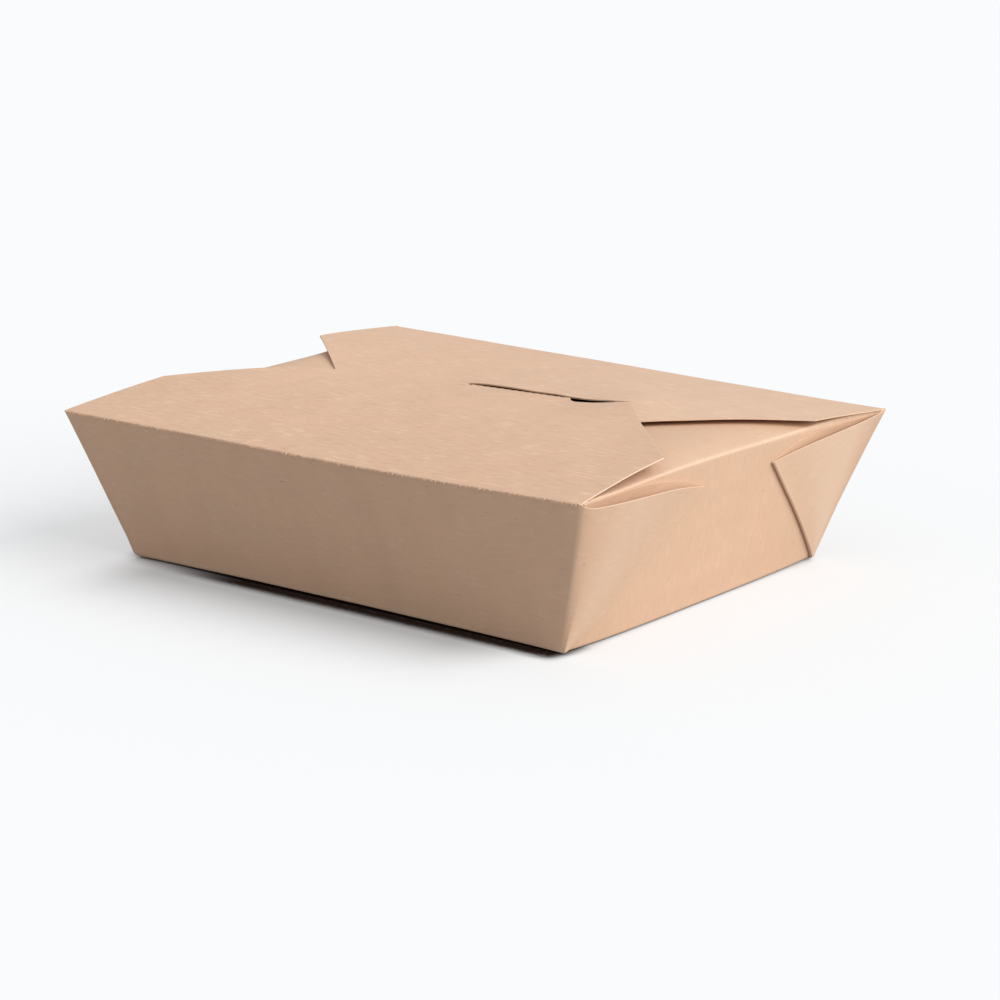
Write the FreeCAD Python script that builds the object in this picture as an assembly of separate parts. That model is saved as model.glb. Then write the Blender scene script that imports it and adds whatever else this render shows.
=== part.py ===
import FreeCAD, Part
import math
import os

# A folding takeaway box of kraft board, shut, standing on its base.
# Millimetres. X runs along the box, the hinged front flap is on the -Y side, +Z is up.
# One blank makes it all. The front flap is a node of its own because it turns.

Vec = FreeCAD.Vector

# Box
top_length = 215.0
top_width = 178.0
base_length = 181.0
base_width = 145.0
height = 52.5
board = 0.5

# End walls, pressed inwards along their top fold by the closed lid
end_bow = 7.0
end_drop = 1.2

# End flaps, folded in first
end_flap_depth = 60.0
end_flap_root_inset = 7.0
end_flap_tip_inset = 40.0

# Long flaps: the same side edges and corner cuts on both
flap_side_depth = 46.0
flap_side_taper = 3.5
flap_cut_slope = 1.1
flap_end_gap = 0.4

# Back flap, folded in second, with the slit that takes the tongue
back_flap_crest = 50.0
slit_rise = 3.4
back_flap_depth = 97.0
back_flap_nose_drop = 2.5
slit_left = -20.0
slit_right = 48.0
slit_bay_start = 26.0
slit_bay_reach = 2.4

# Front flap, folded in last
front_flap_depth = 106.4
front_flap_crest = 72.0
front_flap_crown = 1.5
shoulder_setback = 6.0
tongue_left = -17.0
tongue_right = 25.0
tongue_drop = 9.0
tongue_tip_inset = 5.0
bay_setback = 3.0

# Hinge line of the front flap
bead_radius = 0.6
hinge_clearance = 0.35
slit_clearance = 0.45
lid_clearance = 0.3

# Corner gussets, folded flat against the outside of the end walls
gusset_tip_share = 0.36
gusset_tip_height_share = 0.84
gusset_stand = 2.2
gusset_pocket = 0.5
gusset_seam = 2.0

# Derived places
half_top_length = top_length / 2
half_top_width = top_width / 2
half_base_length = base_length / 2
half_base_width = base_width / 2
length_flare = half_top_length - half_base_length
width_flare = half_top_width - half_base_width
long_wall_inset = board * math.hypot(width_flare, height) / height
end_wall_inset = board * math.hypot(length_flare, height) / height
hinge_y = -half_top_width + bead_radius
hinge_z = height - bead_radius
flap_half_root = half_top_length - flap_end_gap
flap_half_side = half_top_length - flap_side_taper
flap_lift = slit_rise + bead_radius + lid_clearance + board / 2
tongue_reach = math.hypot(front_flap_depth, flap_lift + board)
slit_front = hinge_y + front_flap_depth - board - slit_clearance
slit_back = hinge_y + tongue_reach + slit_clearance
end_flap_top = height - end_drop


def frustum(inset_length, inset_width, floor, extra):
    """Solid with the box's slanting sides, set in by the two insets, from floor to height + extra."""
    low = floor / height
    high = (height + extra) / height
    wires = []
    for share in (low, high):
        half_x = half_base_length + length_flare * share - inset_length
        half_y = half_base_width + width_flare * share - inset_width
        bow = end_bow * share
        corner = [Vec(sx * half_x, sy * half_y, height * share) for sx, sy in
                  ((-1, -1), (1, -1), (1, 1), (-1, 1))]
        right = Vec(half_x - bow, 0, height * share)
        left = Vec(bow - half_x, 0, height * share)
        if bow > 0:
            right_edge = Part.Arc(corner[1], right, corner[2]).toShape()
            left_edge = Part.Arc(corner[3], left, corner[0]).toShape()
        else:
            right_edge = Part.makeLine(corner[1], corner[2])
            left_edge = Part.makeLine(corner[3], corner[0])
        front_edge = Part.makeLine(corner[0], corner[1])
        back_edge = Part.makeLine(corner[2], corner[3])
        wires.append(Part.Wire([front_edge, right_edge, back_edge, left_edge]))
    return Part.makeLoft(wires, True, True)


def prism(points, direction):
    """Solid swept from a flat outline along a direction."""
    return Part.Face(Part.makePolygon(points + points[:1])).extrude(direction)


def bent_board(path, outline):
    """Board following a path of (distance from fold, height), cut to an outline of (x, distance)."""
    left = -half_top_length
    upper = [Vec(left, depth, rise + board / 2) for depth, rise in path]
    lower = [Vec(left, depth, rise - board / 2) for depth, rise in reversed(path)]
    strip = prism(upper + lower, Vec(top_length, 0, 0))
    plan = prism([Vec(x, depth, -height) for x, depth in outline], Vec(0, 0, 2 * height))
    return strip.common(plan)


def cut_x(depth):
    """How far out a long flap's corner cut is at a distance from the fold."""
    return flap_half_side - (depth - flap_side_depth) / flap_cut_slope


def both_sides(right_side):
    """Outline closed by mirroring its right-hand half, which is listed from the fold outwards."""
    return right_side + [(-x, depth) for x, depth in reversed(right_side)]


def wall_x(y, z):
    """How far out the end wall's outer face is at a height and a place along the box's width."""
    share = z / height
    place = y / (half_base_width + width_flare * share)
    return half_base_length + share * (length_flare - end_bow * (1 - place ** 2))


def make_tray():
    """Base, two long walls and two bowed end walls."""
    return frustum(0, 0, 0, 0).cut(frustum(end_wall_inset, long_wall_inset, board, 1))


def make_end_flap():
    """Right-hand end flap: its outer edge follows the bowed fold."""
    root = half_top_width - end_flap_root_inset
    tip = half_top_width - end_flap_tip_inset
    inner_x = half_top_length - end_flap_depth
    z = end_flap_top - board
    shape = [(half_top_length + 1, -root), (half_top_length + 1, root), (inner_x, tip), (inner_x, -tip)]
    flat = prism([Vec(x, y, z) for x, y in shape], Vec(0, 0, board))
    return flat.common(frustum(0, 0, 0, 0))


def make_gusset():
    """Right-hand back gusset: outer layer, a pocket open at the top, inner layer on the wall."""
    foot = Vec(half_base_length, half_base_width, 0)
    head = Vec(half_top_length, half_top_width, height)
    tip_y = half_top_width * gusset_tip_share
    tip_z = height * gusset_tip_height_share
    tip = Vec(wall_x(tip_y, tip_z) + gusset_stand, tip_y, tip_z)
    block = prism([foot, head, tip], Vec(-end_bow - gusset_stand, 0, 0))
    block = block.cut(frustum(0, 0, 0, 0))
    rise = (head - foot).normalize() * 3 * gusset_seam
    along = (tip - head).normalize() * gusset_seam
    low = foot + (tip - foot) * 0.25 + (head - foot) * 0.25
    slot = [low, head + along * 2 + rise, tip - along + rise, tip - along]
    layer = Vec(-end_wall_inset, 0, 0)
    return block.cut(prism([point + layer for point in slot], Vec(-gusset_pocket, 0, 0)))


def make_back_flap():
    """Back flap: rises, runs level to the slit, bends down under the front flap; slit cut through."""
    run = half_top_width - (slit_front + slit_back) / 2
    path = [(0, 0), (back_flap_crest, slit_rise), (run, slit_rise),
            (back_flap_depth, slit_rise - back_flap_nose_drop)]
    outline = [(half_top_length, 0), (flap_half_side, flap_side_depth),
               (cut_x(back_flap_depth), back_flap_depth)]
    flap = bent_board(path, both_sides(outline))
    flap.rotate(Vec(0, 0, 0), Vec(0, 0, 1), 180)
    flap.translate(Vec(0, half_top_width, height - board / 2))
    bay_end = slit_right - (slit_right - slit_bay_start) / 4
    bay_in = slit_bay_start + (slit_right - slit_bay_start) / 4
    opening = [(slit_left, slit_front), (slit_bay_start, slit_front), (bay_in, slit_front - slit_bay_reach),
               (bay_end, slit_front - slit_bay_reach), (slit_right, slit_front),
               (slit_right, slit_back), (slit_left, slit_back)]
    cutter = prism([Vec(x, y, height + board) for x, y in opening], Vec(0, 0, 2 * slit_rise))
    return flap.cut(cutter)


def make_carton():
    """Everything of the box that stays still."""
    flap = make_end_flap()
    gusset = make_gusset()
    pieces = [flap, flap.mirror(Vec(0, 0, 0), Vec(1, 0, 0))]
    for side in (gusset, gusset.mirror(Vec(0, 0, 0), Vec(0, 1, 0))):
        pieces.append(side)
        pieces.append(side.mirror(Vec(0, 0, 0), Vec(1, 0, 0)))
    trim = Part.makeBox(top_length + 2, top_width, 2 * end_drop,
                        Vec(-half_top_length - 1, -half_top_width - 2 * board, end_flap_top))
    body = make_tray().multiFuse(pieces).cut(trim).fuse(make_back_flap())
    groove = Part.makeCylinder(bead_radius + hinge_clearance, top_length + 4,
                               Vec(-half_top_length - 2, hinge_y, hinge_z), Vec(1, 0, 0))
    above = Part.makeBox(top_length + 4, 2 * (bead_radius + hinge_clearance), 2 * bead_radius,
                         Vec(-half_top_length - 2, hinge_y - bead_radius - hinge_clearance, hinge_z))
    return body.cut(groove).cut(above).removeSplitter()


def make_front_flap():
    """Front flap with the bead it turns on and the tongue bent down through the slit."""
    far = front_flap_depth
    shoulder = far - shoulder_setback
    bay = far - bay_setback
    outline = [(flap_half_root, 0), (flap_half_side, flap_side_depth), (cut_x(bay), bay),
               (tongue_right + 1, bay), (tongue_right, far), (tongue_left, far),
               (tongue_left - 2, shoulder), (-cut_x(shoulder), shoulder),
               (-flap_half_side, flap_side_depth), (-flap_half_root, 0)]
    path = [(0, 0), (front_flap_crest, flap_lift + front_flap_crown), (far, flap_lift)]
    flap = bent_board(path, outline)
    bead = Part.makeCylinder(bead_radius, 2 * flap_half_root, Vec(-flap_half_root, 0, 0), Vec(1, 0, 0))
    drop = [Vec(tongue_left, far, flap_lift + board / 2), Vec(tongue_right, far, flap_lift + board / 2),
            Vec(tongue_right - tongue_tip_inset, far, flap_lift - tongue_drop),
            Vec(tongue_left + tongue_tip_inset, far, flap_lift - tongue_drop)]
    tongue = prism(drop, Vec(0, -board, 0))
    body = flap.fuse(bead).fuse(tongue).removeSplitter()
    body.translate(Vec(0, hinge_y, hinge_z))
    return body


os.makedirs("parts", exist_ok=True)
make_carton().exportStep("parts/carton.step")
make_front_flap().exportStep("parts/front_flap.step")
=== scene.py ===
import math

import bpy
import numpy as np
from mathutils import Matrix, Vector, geometry, noise


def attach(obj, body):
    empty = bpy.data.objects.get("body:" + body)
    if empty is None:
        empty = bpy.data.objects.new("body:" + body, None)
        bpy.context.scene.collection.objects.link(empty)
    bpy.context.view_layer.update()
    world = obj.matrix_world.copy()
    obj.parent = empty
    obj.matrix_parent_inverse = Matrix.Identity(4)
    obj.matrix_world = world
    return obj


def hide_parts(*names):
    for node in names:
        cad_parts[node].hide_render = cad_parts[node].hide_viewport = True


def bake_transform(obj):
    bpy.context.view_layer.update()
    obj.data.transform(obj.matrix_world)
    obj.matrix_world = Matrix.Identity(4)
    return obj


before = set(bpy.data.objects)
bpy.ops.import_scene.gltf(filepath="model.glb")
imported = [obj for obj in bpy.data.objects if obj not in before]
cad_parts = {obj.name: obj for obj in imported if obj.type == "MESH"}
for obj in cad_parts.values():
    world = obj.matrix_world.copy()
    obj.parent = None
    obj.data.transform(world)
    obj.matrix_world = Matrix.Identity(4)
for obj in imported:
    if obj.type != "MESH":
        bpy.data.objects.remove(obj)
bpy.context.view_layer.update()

bl_info = {
    "name": "Kraft Takeaway Box",
    "version": (1, 0, 0),
    "blender": (4, 5, 0),
    "location": "3D View > Sidebar > Takeaway Box",
    "description": "Builds a folded takeaway box of kraft board over its packed frame",
    "category": "Object",
}

# Everything below is in millimetres until a mesh is made. X runs along the box, the front is -Y.
MM = 0.001

RIM_X, RIM_Y = 107.5, 89.0
BASE_X, BASE_Y = 90.5, 72.5
RIM_Z = 52.5
WALL_LENGTH = math.hypot(RIM_Z, RIM_Y - BASE_Y)
STRIP = 1.3
SEAM_SHARE = 1 - STRIP / WALL_LENGTH
FOOT_ROWS = [0.0015, 0.004, 0.008, 0.012, 0.0175, 0.026, 0.045]
FOLD_ROWS = [-0.9, -0.6, -0.3, 0, 0.3, 0.6, 0.9, 1.5, 2.5]
BEND_COLUMNS = 6
WAVE_LENGTH, WAVE_HEIGHT, WAVE_SEED = 34.0, 0.12, 7

# Board outlines as (across, distance from fold), within 2.5 mm of the solids' own
FLAP_ROOT = 107.0
CUT_SLOPE = 1.1
TONGUE_LEFT, TONGUE_RIGHT, TONGUE_FAR = -15.0, 26.4, 106.9
SLIT_LEFT, SLIT_RIGHT, SLIT_MIDDLE = -17.5, 50.0, 71.2
RIGHT_CUT = (103.6, 49.0)
END_FLAP_DEPTH, END_FLAP_ROOT, END_FLAP_TIP = 60, 82, 49
FRONT_FOLD, BACK_FOLD = (0.13, 0.55), (0.12, 0.7)
TONGUE_RADIUS, TONGUE_TURN = 0.9, math.radians(78)
BASE_OFFSET, BACK_OFFSET = 200.0, 300.0

# Heights of the flaps' top faces over the fold, at places (across, distance from fold)
FRONT_HEIGHTS = (
    (-104, 45.3, 4.3), (-92, 58, 5.3), (-80, 71.5, 5.9), (-70, 82.6, 5.7), (-63.8, 89.7, 4.5),
    (-53, 100.8, 3.2), (-36, 100.8, 3.0), (-19, 100.8, 2.9), (-17, 106.9, 2.8), (5, 106.9, 3.3),
    (26, 106.9, 3.9), (30.5, 103.3, 3.7), (39.4, 103.8, 4.4), (50, 107, 6.2), (58, 98.4, 5.2),
    (66, 89.7, 4.7), (84, 70, 4.9), (103.5, 49, 5.1), (0, 40, 4.0), (0, 75, 4.7), (-50, 62, 5.0),
    (50, 66, 5.0), (-60, 30, 3.5), (60, 30, 3.6), (-85, 14, 1.9), (0, 14, 1.8), (85, 14, 1.9))
BACK_HEIGHTS = (
    (104.7, 41, 2.9), (88, 60, 3.95), (76, 74, 3.9), (65, 86.6, 3.8), (56, 80, 4.3), (51, 69.5, 5.6),
    (40, 70, 4.9), (26, 70, 3.95), (5, 70, 3.3), (-16, 70, 2.8), (-24, 71, 2.7), (-40, 77, 2.3),
    (-62, 88, 3.3), (-20, 74, 2.2), (10, 74, 2.6), (36, 76, 3.3), (-40, 97, 2.0), (0, 97, 2.0),
    (40, 97, 2.6), (-104.8, 48, 4.65), (-80, 71.4, 4.6), (-50, 45, 3.8), (0, 45, 3.7), (50, 45, 4.2),
    (-80, 18, 2.2), (0, 18, 2.1), (80, 18, 1.9))

# Each corner's gusset: its tip along the box's width and height, how far its outer layer stands off,
# the curves of its top edges, how rounded it is, its fold's rub with a painted highlight, and painted light
# on its outer layer
CORNERS = {
    (1, -1): {"tip": (-11.0, 42.6), "puff": 4.6, "scoop": 2.2, "arch_out": 1.0, "arch_in": 3.2, "rub_and_painted_highlight": 0.1,
              "reach": 1.0, "pale": 0.5},
    (-1, -1): {"tip": (-19.0, 43.6), "puff": 2.6, "scoop": 1.2, "arch_out": 0.6, "arch_in": 3.0, "rub_and_painted_highlight": 0.5,
               "reach": 1.0, "pale": 0.2},
    (1, 1): {"tip": (29.8, 43.6), "puff": 2.2, "scoop": 0.6, "arch_out": 0.8, "arch_in": 3.3, "rub_and_painted_highlight": 0.4,
             "reach": 0.4, "pale": 0.85},
    (-1, 1): {"tip": (29.0, 43.8), "puff": 1.2, "scoop": 0.8, "arch_out": 0.7, "arch_in": 2.8, "rub_and_painted_highlight": 0.6,
              "reach": 0.6, "pale": 0.2},
}


# Shape of the box

def half_x(share):
    return BASE_X + (RIM_X - BASE_X) * share


def half_y(share):
    return BASE_Y + (RIM_Y - BASE_Y) * share


def wall_x(y, z, bow):
    """How far out the end wall's outer face is, bowed inwards along its top fold."""
    share = z / RIM_Z
    place = np.clip(y / half_y(share), -1, 1)
    return BASE_X + share * (RIM_X - BASE_X - bow * (1 - place ** 2))


def smooth(value, low, high):
    """Soft step from 0 to 1 between two values."""
    t = min(1.0, max(0.0, (value - low) / (high - low)))
    return t * t * (3 - 2 * t)


def front_bow(x, amount):
    """Share of the front fold's outward bow at a place along the box."""
    return amount * np.clip(1 - ((x - 28) / 79.5) ** 2, 0, 1) ** 1.5


def base_lift(x, y):
    """How far the board of the base is off the table: it rests on its middle."""
    fx = np.clip(x / BASE_X, -1, 1)
    fy = np.clip(y / BASE_Y, -1, 1)
    front = 0.55 + 0.6 * (1 - fx ** 2)
    back = 0.7 - 0.25 * fx
    edge = back + (front - back) * (1 - fy) / 2
    edge = edge * (1 - 0.6 * np.clip(fx, 0, 1) ** 4 * (1 - fy ** 2))
    return edge * np.maximum(np.abs(fx), np.abs(fy)) ** 4


def settle(points):
    """The whole box's small warps: folded base edges, lifted base, twisted rim."""
    x, y, z = points.T.copy()
    left_front = np.clip(-x / BASE_X, 0, 1) ** 12 * np.clip(-y / BASE_Y, 0, 1) ** 12
    radius = 0.9 + 0.9 * np.clip(left_front, 0, 1)
    low = np.clip(radius - z, 0, radius)
    tuck = radius - np.sqrt(np.maximum(radius ** 2 - low ** 2, 0))
    x = x * (1 - tuck / BASE_X)
    y = y * (1 - tuck / BASE_Y)
    share = z / RIM_Z
    back_right = np.clip(x / BASE_X, 0, 1) ** 6 * np.clip(y / BASE_Y, 0, 1) ** 6 * np.clip(1 - share, 0, 1)
    x = x - 0.55 * back_right
    y = y - 0.45 * back_right
    near_foot = np.clip(x / BASE_X, 0, 1) ** 6 * np.clip(1 - share, 0, 1) ** 2
    at_front = np.clip(-y / BASE_Y, 0, 1) ** 6
    x = x - 1.4 * near_foot * at_front
    y = y - 0.5 * near_foot * at_front
    x = x + 0.8 * near_foot * np.clip(1 - (y / BASE_Y) ** 4, 0, 1)
    left_foot = np.clip(-x / BASE_X, 0, 1) ** 10 * at_front * np.clip(1 - share, 0, 1) ** 3
    x = x + 1.3 * left_foot
    y = y - 0.7 * left_foot
    z = z - 0.35 * left_foot
    rim_lift = 0.6 + 0.4 * np.clip(y / RIM_Y, 0, 1) ** 6
    z = z + base_lift(x, y) * np.clip(1 - share, 0, 1) + rim_lift * np.clip(share, 0, 1)
    z = z - 1.09 * (x / RIM_X) * (y / RIM_Y) * share
    head = np.clip(x / RIM_X, 0, 1) ** 4 * np.clip(y / RIM_Y, 0, 1) ** 4 * np.clip(share, 0, 1) ** 3
    x = x + 0.55 * head
    y = y + 0.15 * head
    z = z + 0.2 * head
    return np.stack([x, y, z], 1)


def ripple(points):
    """Slow waves that no sheet of board is free of, the same in every run."""
    noise.seed_set(WAVE_SEED)
    out = points.copy()
    for n, point in enumerate(points):
        out[n] += np.array(noise.noise_vector(Vector(point) / WAVE_LENGTH)) * WAVE_HEIGHT
    return out


def bend(points_a, corner, points_b, count):
    """Points of a rounded corner between two places on two faces."""
    shares = np.linspace(0, 1, count + 2)[1:-1]
    return [(1 - t) ** 2 * points_a + 2 * t * (1 - t) * corner + t ** 2 * points_b for t in shares]


# Sheets of board

class Sheet:
    """One face of the board as points with their place in the flat blank, to be thickened."""

    def __init__(self, pale=0.35, fibre=0.42):
        self.points = []
        self.flat = []
        self.fold = []
        self.faces = []
        self.pale = pale
        self.fibre = fibre

    def add(self, point, flat, fold=0.0):
        self.points.append(np.asarray(point, float))
        self.flat.append(flat)
        self.fold.append(fold)
        return len(self.points) - 1

    def grid(self, columns, skip=None):
        """Faces between columns of point numbers, listed so that their outer side is kept."""
        for c in range(len(columns) - 1):
            for r in range(len(columns[c]) - 1):
                if skip and skip(c, r):
                    continue
                a, b = columns[c][r], columns[c + 1][r]
                d, e = columns[c + 1][r + 1], columns[c][r + 1]
                self.faces.append((a, b, d, e))


def thicken(sheets, thickness, joined):
    """Points, faces and marks of board: outer and inner faces are 0, cut edges 1 and their paleness."""
    points, faces, marks, flat, fold, fibre = [], [], [], [], [], []
    for sheet in sheets:
        outer = np.array(sheet.points)
        normal = np.zeros_like(outer)
        for face in sheet.faces:
            corner = outer[list(face)]
            way = np.cross(corner[2] - corner[0], corner[-1] - corner[1])
            for v in face:
                normal[v] += way
        normal /= np.maximum(np.linalg.norm(normal, axis=1, keepdims=True), 1e-9)
        inner = outer - normal * thickness
        start = len(points)
        count = len(outer)
        points.extend(outer)
        points.extend(inner)
        flat.extend(sheet.flat)
        flat.extend(sheet.flat)
        fold.extend(sheet.fold)
        fold.extend(sheet.fold)
        fibre.extend([sheet.fibre] * (2 * count))
        edges = {}
        for face in sheet.faces:
            faces.append([start + v for v in face])
            faces.append([start + count + v for v in reversed(face)])
            marks.extend([0.0, 0.0])
            for a, b in zip(face, face[1:] + face[:1]):
                edges[(a, b)] = edges.get((a, b), 0) + 1
        for a, b in edges:
            if (b, a) in edges or joined(sheet.points[a], sheet.points[b]):
                continue
            faces.append([start + b, start + a, start + count + a, start + count + b])
            marks.append(1 + sheet.pale)
    return np.array(points), faces, marks, flat, fold, fibre


def make_board(name, sheets, thickness, joined):
    """Mesh object of board with its place in the blank as UV and marks for its faces."""
    points, faces, marks, flat, fold, fibre = thicken(sheets, thickness, joined)
    points = ripple(settle(points)) * MM
    mesh = bpy.data.meshes.new(name)
    mesh.from_pydata([tuple(p) for p in points], [], [tuple(f) for f in faces])
    layer = mesh.uv_layers.new(name="board")
    flat = np.array(flat) * MM
    corners = np.zeros(len(mesh.loops), int)
    mesh.loops.foreach_get("vertex_index", corners)
    layer.data.foreach_set("uv", flat[corners].astype(np.float32).ravel())
    cut = mesh.attributes.new("cut_edge", "FLOAT", "FACE")
    cut.data.foreach_set("value", np.array(marks, np.float32))
    # The crease mark carries fold rub with painted highlights and sheen, and below zero a painted shadow
    crease = mesh.attributes.new("crease", "FLOAT", "POINT")
    crease.data.foreach_set("value", np.array(fold, np.float32))
    strength = mesh.attributes.new("fibre_strength", "FLOAT", "POINT")
    strength.data.foreach_set("value", np.array(fibre, np.float32))
    mesh.validate()
    mesh.polygons.foreach_set("use_smooth", [m < 1 for m in marks][:len(mesh.polygons)])
    mesh.update()
    shape = bpy.data.objects.new(name, mesh)
    bpy.context.scene.collection.objects.link(shape)
    mark_sharp_rims(mesh)
    return shape


def mark_sharp_rims(mesh):
    """Edges between a face of the board and its cut edge stay sharp."""
    cut = np.zeros(len(mesh.polygons), np.float32)
    mesh.attributes["cut_edge"].data.foreach_get("value", cut)
    edge_of = {}
    for polygon in mesh.polygons:
        for key in polygon.edge_keys:
            edge_of.setdefault(key, set()).add(bool(cut[polygon.index] > 0.5))
    sharp = mesh.attributes.new("sharp_edge", "BOOLEAN", "EDGE")
    values = [len(edge_of.get(tuple(sorted(edge.vertices)), ())) > 1 for edge in mesh.edges]
    sharp.data.foreach_set("value", values)


# Walls and gussets

def row_shares():
    """Rows from the foot to the rim: close together in the base fold and at the seam."""
    return FOOT_ROWS + list(np.linspace(0.08, 0.93, 20)) + [SEAM_SHARE - 0.02, SEAM_SHARE, 1.0]


def long_wall_point(x, side, share, shape):
    """Outer face of the front or back wall."""
    z = share * RIM_Z
    belly = 0.5 * math.sin(math.pi * share) * math.cos(0.5 * math.pi * min(1, abs(x) / RIM_X))
    y = -half_y(share) - belly
    if side < 0:
        amount = front_bow(x, 1.0) * share ** 2
        y -= shape.front_bow / MM * amount
        z -= shape.front_dip / MM * amount
    return np.array([x, -side * y, z])


def gusset_edge(corner, side, share_along, layer):
    """Place along the width and height of a gusset layer's top edge."""
    tip_y, tip_z = corner["tip"]
    y = side * RIM_Y + (tip_y - side * RIM_Y) * share_along
    z = RIM_Z + (tip_z - RIM_Z) * share_along
    q = share_along
    if layer == "outer":
        z += corner["arch_out"] * 4 * q * (1 - q)
        z -= corner["scoop"] * (1 - math.exp(-q / 0.022)) * (1 - q) ** 2.5
    else:
        z += corner["arch_in"] * 6.75 * q * q * (1 - q)
    return y, z


def gusset_point(key, share_along, share, layer, shape):
    """Point of a gusset layer on the ray from the corner's foot."""
    corner = CORNERS[key]
    side = key[1]
    bow = shape.end_bow / MM
    gap, loop = shape.layer_gap / MM, shape.loop_width / MM
    edge_y, edge_z = gusset_edge(corner, side, share_along, layer)
    y = side * BASE_Y + (edge_y - side * BASE_Y) * share
    z = edge_z * share
    base = wall_x(y, z, bow)
    if layer == "inner":
        return y, z, base + gap
    tip_y, tip_z = corner["tip"]
    tip_x = wall_x(tip_y, tip_z, bow) + gap + loop
    q = share_along
    chord = RIM_X + (tip_x - RIM_X) * q + corner["puff"] * 6.75 * q * (1 - q) ** 2
    top_away = chord - wall_x(edge_y, edge_z, bow)
    least = (gap + loop) * min(1.0, q / 0.09)
    away = least + (max(top_away, least) - least) * share ** 1.35
    return y, z, base + away


def gusset_columns(sheet, key, rows, shape):
    """Columns of a corner from the wall's tangent line round to the inner layer's end."""
    sx, side = key
    corner = CORNERS[key]
    tip_y, tip_z = corner["tip"]
    reach = shape.corner_reach / MM * corner["reach"]
    run = abs(tip_y - side * RIM_Y)
    start = reach / run
    away = np.array([tip_y - side * BASE_Y, tip_z])
    away = np.array([-away[1], away[0]]) / np.linalg.norm(away)
    if away[0] * side > 0:
        away = -away
    loop = shape.loop_width / MM
    columns = [[] for _ in range(BEND_COLUMNS)]
    shares_out = np.concatenate([[start], np.linspace(start + 0.03, 0.97, 26), [1.0]])
    shares_in = np.concatenate([[1.0], np.linspace(0.97, 0.03, 24), [0.016]])
    for share in rows:
        wall = long_wall_point(sx * (half_x(share) - reach * share), side, share, shape)
        y, z, x = gusset_point(key, start, share, "outer", shape)
        end = np.array([sx * x, y, z])
        tip = np.array([sx * half_x(share), side * half_y(share), share * RIM_Z])
        for n, point in enumerate(bend(wall, tip, end, BEND_COLUMNS)):
            flat = (sx * (half_x(share) + reach * share * (n - 2.5) / 2.5), (share - 1) * WALL_LENGTH)
            # Paler along the rounded corner: a painted highlight, partly rub
            rub_and_painted_light = 0.3 * math.sin(math.pi * (n + 0.5) / BEND_COLUMNS)
            columns[n].append(sheet.add(point, flat, rub_and_painted_light))

    def layer_column(layer, q, from_wall, rub_and_painted_light):
        column = []
        for share in rows:
            y, z, x = gusset_point(key, q, share, layer, shape)
            flat = (sx * (half_x(share) + from_wall * run * share), (share - 1) * WALL_LENGTH)
            column.append(sheet.add((sx * x, y, z), flat, rub_and_painted_light))
        return column

    for q in shares_out:
        # A paler band on the outer layer is painted light; towards the fold, rub with a painted highlight
        rub_and_painted_light = corner["pale"] * smooth(q, 0.05, 0.35) * (1 - 0.75 * smooth(q, 0.45, 0.95))
        rub_and_painted_light = max(corner["rub_and_painted_highlight"] * max(0.0, 1 - (1 - q) * 28), rub_and_painted_light)
        columns.append(layer_column("outer", q, q, rub_and_painted_light))
    for turn in np.linspace(0, math.pi, 8)[1:-1]:
        column = []
        for share in rows:
            y, z, x = gusset_point(key, 1.0, share, "inner", shape)
            size = loop / 2 * min(1.0, 0.3 + 3 * share)
            x += (loop / 2) * (1 + math.cos(turn))
            y += away[0] * size * math.sin(turn)
            z += away[1] * size * math.sin(turn)
            flat = (sx * (half_x(share) + run * share), (share - 1) * WALL_LENGTH)
            # The folded edge paler: rub with a painted highlight
            column.append(sheet.add((sx * x, y, z), flat, corner["rub_and_painted_highlight"]))
        columns.append(column)
    for q in shares_in:
        columns.append(layer_column("inner", q, 2 - q, 0.0))
    return columns


def long_wall(side, shape):
    """Front or back wall with both its gussets, up to the seam under the flap's fold."""
    sheet = Sheet()
    rows = row_shares()
    reach = shape.corner_reach / MM
    wall = []
    for fraction in np.linspace(-1, 1, 73):
        column = []
        ends = CORNERS[(1 if fraction > 0 else -1, side)]["reach"]
        for share in rows:
            x = fraction * (half_x(share) - reach * ends * share)
            crease = 0.5 * math.exp(-share * 40)
            column.append(sheet.add(long_wall_point(x, side, share, shape),
                                    (x, (share - 1) * WALL_LENGTH), crease))
        wall.append(column)
    right = gusset_columns(sheet, (1, side), rows, shape)
    left = gusset_columns(sheet, (-1, side), rows, shape)
    columns = left[::-1] + wall + right
    first, last = len(left), len(left) + len(wall) - 1
    top = len(rows) - 2
    if side > 0:
        columns = columns[::-1]
        first, last = len(right), len(right) + len(wall) - 1
    sheet.grid(columns, lambda c, r: first <= c < last and r == top)
    return sheet


def end_flap_rise(sx, g, depth):
    """How far an end flap springs up from its fold, under the long flaps that hold it down."""
    most = 3.0 + 0.5 * g if sx > 0 else 4.4
    spring = most * (1 - math.exp(-(depth / 9) ** 1.3)) * (1 - 0.8 * g * g)
    return spring - 1.2 * (depth / END_FLAP_DEPTH) ** 3


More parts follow.
